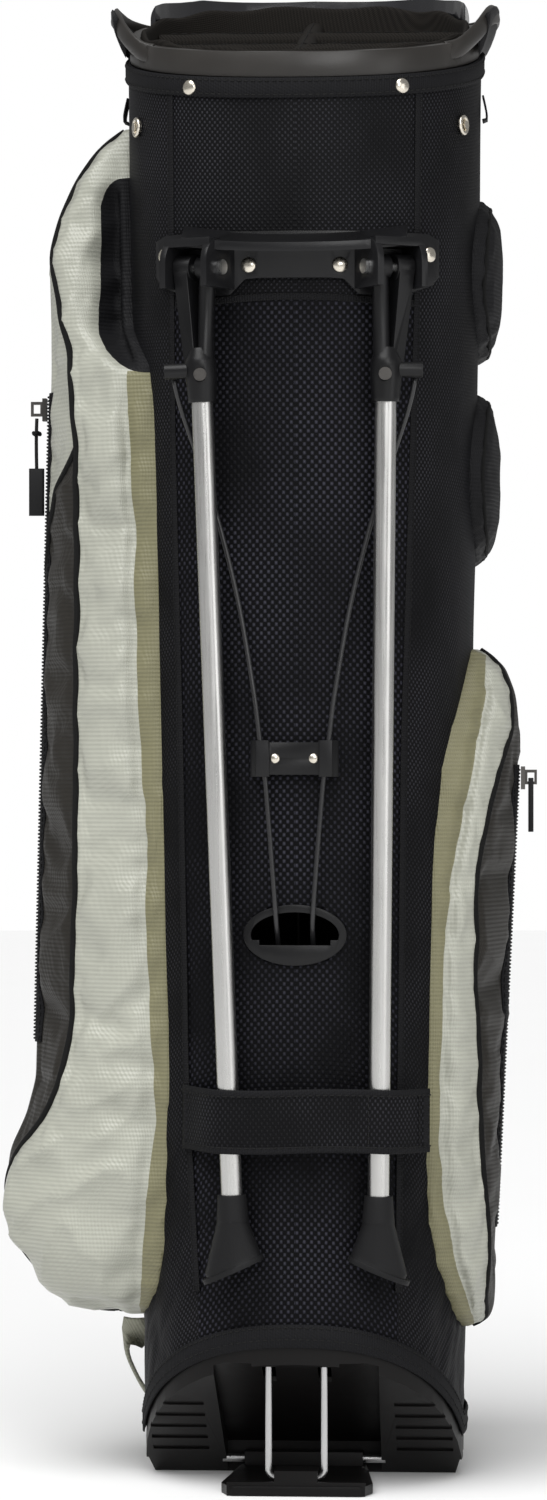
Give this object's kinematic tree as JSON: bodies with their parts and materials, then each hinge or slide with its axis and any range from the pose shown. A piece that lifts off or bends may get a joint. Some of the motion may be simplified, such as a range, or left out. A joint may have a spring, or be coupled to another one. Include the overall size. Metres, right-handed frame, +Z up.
{
  "type": "golf stand bag",
  "caption": "Golf stand bag with fold-out spring legs, foot-plate lift, slanted handled cuff, dividers, zipped side and rear pockets and a leg lock strap",
  "frame": {"origin": "centre of the tube on the ground, on the flat foot of the base near its front edge", "axes": "+Z up along the tube, -Y towards the legs, +X to the right seen from the legs"},
  "size_m": [0.3245, 0.3261, 0.9165],
  "materials": {
    "black_fabric": "woven",
    "silver_fabric": "woven",
    "lining": "mesh",
    "webbing": "ribbed",
    "padded_fabric": "padded",
    "black_plastic": "satin",
    "gloss_black": "gloss",
    "rubber": "matte",
    "tube_aluminium": "satin",
    "steel": "satin",
    "black_rod": "satin",
    "rivet_metal": "polished",
    "zip_tape": "woven",
    "cord": "braided"
  },
  "bodies": {
    "bag": {"base_shell": "black_plastic", "base_binding": "webbing", "foot_plate_pin": "steel", "yoke_guide": "black_plastic", "push_rod_left": "black_rod", "push_rod_right": "black_rod", "rod_clip": "black_plastic", "clip_rivets": "rivet_metal", "rod_port": "black_plastic", "leg_bracket": "black_plastic", "bracket_rivets": "rivet_metal", "bracket_backing_plate": "steel", "leg_axles": "steel", "body_tube": "black_fabric", "stay_rods": "steel", "divider_long": "lining", "divider_cross": "lining", "divider_bars": "lining", "top_cuff": "black_plastic", "cuff_handle_left": "black_plastic", "cuff_handle_right": "black_plastic", "cuff_grip_left": "rubber", "cuff_grip_right": "rubber", "cuff_back_plate": "gloss_black", "cuff_lining": "lining", "collar_binding": "webbing", "cuff_rivets": "rivet_metal", "hood_snaps": "rivet_metal", "side_loops": "webbing", "left_pocket": "silver_fabric", "right_pocket": "silver_fabric", "ball_pocket": "silver_fabric", "pouch_upper": "black_fabric", "pouch_lower": "black_fabric", "zip_tapes": "zip_tape", "base_grab_handle": "silver_fabric", "grab_handle": "padded_fabric", "strap_pad_left": "padded_fabric", "strap_pad_right": "padded_fabric", "strap_webbing": "webbing", "strap_buckles": "black_plastic"},
    "left_leg": {"leg_head_left": "black_plastic", "leg_tube_left": "tube_aluminium", "leg_foot_left": "rubber", "leg_screw_left": "rivet_metal"},
    "right_leg": {"leg_head_right": "black_plastic", "leg_tube_right": "tube_aluminium", "leg_foot_right": "rubber", "leg_screw_right": "rivet_metal"},
    "lift_yoke": {"actuator_yoke": "black_plastic"},
    "lift_wire": {"lift_wire": "steel"},
    "foot_plate": {"foot_plate": "black_plastic"},
    "leg_lock_strap": {"leg_lock_strap": "webbing"},
    "zip_left": {"zip_slider_left": "rivet_metal"},
    "zip_left_pull": {"zip_pull_cord": "cord", "zip_pull_tab": "rubber"},
    "zip_right": {"zip_slider_right": "rivet_metal", "zip_pull_right": "rubber"},
    "zip_ball": {"zip_slider_ball": "rivet_metal", "zip_pull_ball": "rubber"}
  },
  "joints": [
    {"name": "left_leg_swing", "type": "hinge", "parent": "bag", "child": "left_leg", "pos_m": [-0.057, -0.124, 0.724], "axis": [-0.866, 0.5, 0], "range_deg": [0, 40], "stiffness_Nm_per_rad": 0.4, "springref_deg": -11.46, "deforming": ["push_rod_left", "push_rod_right", "leg_lock_strap"]},
    {"name": "right_leg_swing", "type": "hinge", "parent": "bag", "child": "right_leg", "pos_m": [0.057, -0.124, 0.724], "axis": [-0.866, -0.5, 0], "range_deg": [0, 40]},
    {"name": "yoke_lift", "type": "slide", "parent": "bag", "child": "lift_yoke", "axis": [0, 0, 1], "range_m": [0, 0.043]},
    {"name": "wire_tilt", "type": "hinge", "parent": "lift_yoke", "child": "lift_wire", "pos_m": [0, -0.098, 0.15], "axis": [1, 0, 0], "range_deg": [0, 4.3]},
    {"name": "foot_plate_fold", "type": "hinge", "parent": "bag", "child": "foot_plate", "pos_m": [0, -0.014, 0.0095], "axis": [-1, 0, 0], "range_deg": [0, 31.1]},
    {"name": "leg_lock_strap_open", "type": "hinge", "parent": "bag", "child": "leg_lock_strap", "pos_m": [-0.0665, -0.096, 0.223], "axis": [0, 0, -1], "range_deg": [0, 115]},
    {"name": "left_zip", "type": "slide", "parent": "bag", "child": "zip_left", "axis": [-0.0225, 0, -0.9997], "range_m": [0, 0.35]},
    {"name": "left_zip_pull", "type": "hinge", "parent": "zip_left", "child": "zip_left_pull", "pos_m": [-0.1656, 0.003, 0.6448], "axis": [0, 1, 0], "range_deg": [0, 60]},
    {"name": "right_zip", "type": "slide", "parent": "bag", "child": "zip_right", "axis": [-0.0483, 0, -0.9988], "range_m": [0, 0.25]},
    {"name": "ball_zip", "type": "slide", "parent": "bag", "child": "zip_ball", "axis": [1, 0, 0], "range_m": [0, 0.084]}
  ],
  "couplings": [
    {"joint": "right_leg_swing", "follows": "left_leg_swing", "ratio": 1},
    {"joint": "yoke_lift", "follows": "left_leg_swing", "m_per_rad": 0.06145},
    {"joint": "wire_tilt", "follows": "left_leg_swing", "ratio": 0.105},
    {"joint": "foot_plate_fold", "follows": "left_leg_swing", "ratio": 0.775}
  ]
}
